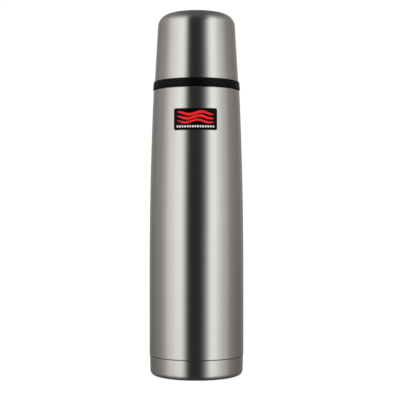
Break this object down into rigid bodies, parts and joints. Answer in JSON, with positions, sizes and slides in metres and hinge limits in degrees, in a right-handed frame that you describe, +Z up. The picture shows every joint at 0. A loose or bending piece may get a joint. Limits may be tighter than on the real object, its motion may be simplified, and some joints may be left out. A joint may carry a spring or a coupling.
{
  "type": "vacuum flask",
  "caption": "Slim vacuum flask: a double-walled brushed steel bottle with a push-button stopper and a screw-on steel drinking cup over a black band.",
  "frame": {"origin": "centre of the base, on the surface that the flask stands on", "axes": "+Z up along the flask's axis; the badge faces -Y; the stopper's release tabs lie along X"},
  "size_m": [0.082, 0.082, 0.315],
  "materials": {
    "brushed_steel": "stainless steel, brushed round the axis, satin",
    "inner_steel": "stainless steel, electropolished",
    "foil": "thin bright foil, slightly crinkled",
    "getter": "sintered, matt",
    "spring_steel": "drawn wire and strip",
    "black_plastic": "moulded polypropylene, satin gloss",
    "grey_plastic": "moulded polypropylene, matt",
    "pale_plastic": "moulded polypropylene, natural",
    "badge": "glossy black lacquer with a fine pale edge line and a plain red wave",
    "dark_silicone": "soft, matt",
    "clear_silicone": "soft, milky, satin"
  },
  "bodies": {
    "flask": {"outer_shell": "brushed_steel", "inner_vessel": "inner_steel", "inner_bottom": "inner_steel", "outer_bottom": "inner_steel", "radiation_foil": "foil", "getter": "getter", "getter_clip": "spring_steel", "vacuum_plug": "inner_steel", "base_cap": "brushed_steel", "neck_collar": "black_plastic", "badge_plate": "badge"},
    "cup_ring": {"cup_seal": "dark_silicone"},
    "cup": {"cup_shell": "brushed_steel", "cup_liner": "black_plastic"},
    "stopper_ring": {"stopper_gasket": "clear_silicone"},
    "stopper": {"stopper_body": "black_plastic", "stopper_core": "pale_plastic", "stopper_cover": "black_plastic", "stem_seal": "dark_silicone", "valve_spring": "spring_steel", "latch_ring": "spring_steel"},
    "valve": {"push_button": "grey_plastic", "valve_stem": "inner_steel", "valve_plug": "pale_plastic", "valve_gasket": "clear_silicone"},
    "release_left": {"release_tab_left": "grey_plastic"},
    "release_right": {"release_tab_right": "grey_plastic"}
  },
  "joints": [
    {"name": "cup_lift", "type": "slide", "parent": "flask", "child": "cup_ring", "axis": [0, 0, 1], "range_m": [0, 0.072]},
    {"name": "cup_turn", "type": "hinge", "parent": "cup_ring", "child": "cup", "pos_m": [0, 0, 0.2478], "axis": [0, 0, 1], "range_deg": [0, 2160]},
    {"name": "stopper_lift", "type": "slide", "parent": "flask", "child": "stopper_ring", "axis": [0, 0, 1], "range_m": [0, 0.032]},
    {"name": "stopper_turn", "type": "hinge", "parent": "stopper_ring", "child": "stopper", "pos_m": [0, 0, 0.243], "axis": [0, 0, 1], "range_deg": [0, 1440]},
    {"name": "button_press", "type": "slide", "parent": "stopper", "child": "valve", "axis": [0, 0, -1], "range_m": [0, 0.003], "stiffness_N_per_m": 800, "springref_m": -0.003, "deforming": ["valve_spring"]},
    {"name": "release_left_press", "type": "slide", "parent": "stopper", "child": "release_left", "axis": [1, 0, 0], "range_m": [0, 0.0015], "stiffness_N_per_m": 1500, "springref_m": -0.0007, "deforming": ["latch_ring"]},
    {"name": "release_right_press", "type": "slide", "parent": "stopper", "child": "release_right", "axis": [-1, 0, 0], "range_m": [0, 0.0015], "stiffness_N_per_m": 1500, "springref_m": -0.0007, "deforming": ["latch_ring"]}
  ],
  "couplings": [
    {"joint": "cup_turn", "follows": "cup_lift", "rad_per_m": 523.6},
    {"joint": "stopper_turn", "follows": "stopper_lift", "rad_per_m": 785.4}
  ]
}
